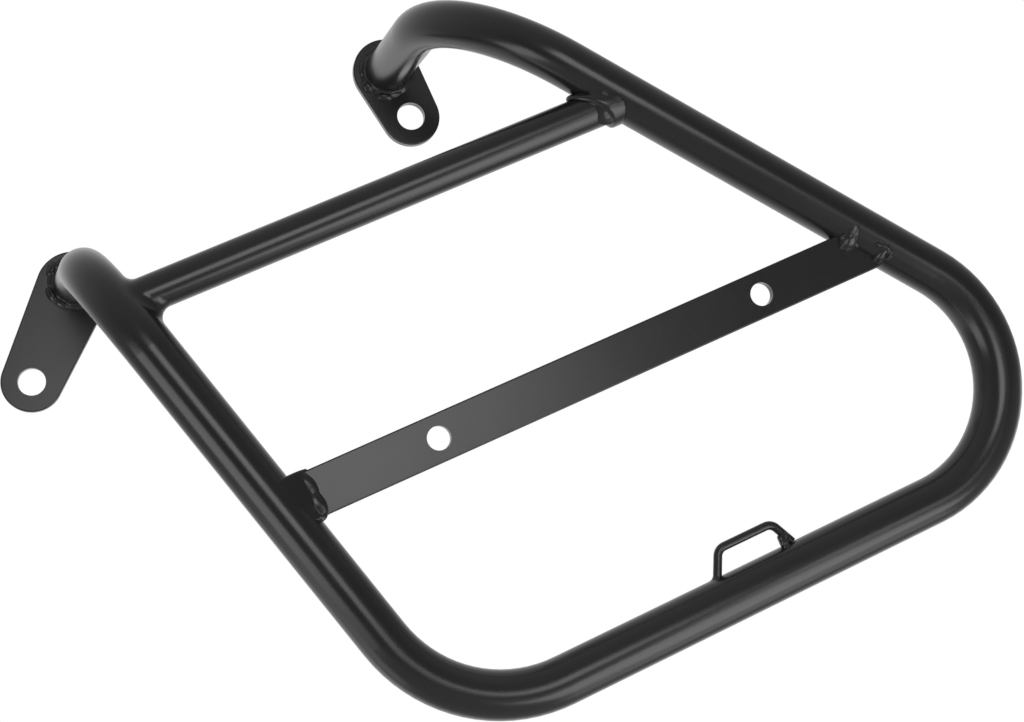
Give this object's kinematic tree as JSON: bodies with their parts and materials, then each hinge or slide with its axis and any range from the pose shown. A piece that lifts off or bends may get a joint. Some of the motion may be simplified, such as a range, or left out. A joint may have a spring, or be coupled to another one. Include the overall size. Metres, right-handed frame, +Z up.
{
  "type": "pannier frame",
  "caption": "Bent round-tube side frame with cross tube, drilled flat bar, wire strap loop and bolt tabs on inboard arms, for keeping a soft pannier bag off a motorbike's wheel.",
  "frame": {"origin": "midway between the two bag bolt holes, on the flat bar's outboard face", "axes": "+X to the motorbike's rear along the base, +Y inboard towards the motorbike, +Z up"},
  "size_m": [0.3172, 0.1465, 0.241],
  "materials": {
    "powder_coat": "satin black powder coat on welded steel, smooth over the weld beads"
  },
  "bodies": {
    "root": {"main_tube": "powder_coat", "cross_tube": "powder_coat", "bag_bar": "powder_coat", "strap_loop": "powder_coat", "front_tab": "powder_coat", "rear_tab": "powder_coat", "front_tab_weld": "powder_coat", "rear_tab_weld": "powder_coat", "cross_tube_front_weld": "powder_coat", "cross_tube_rear_weld": "powder_coat", "bag_bar_front_weld": "powder_coat", "bag_bar_rear_upper_tack": "powder_coat", "bag_bar_rear_lower_tack": "powder_coat", "strap_loop_front_weld": "powder_coat", "strap_loop_rear_tack": "powder_coat"}
  },
  "joints": []
}
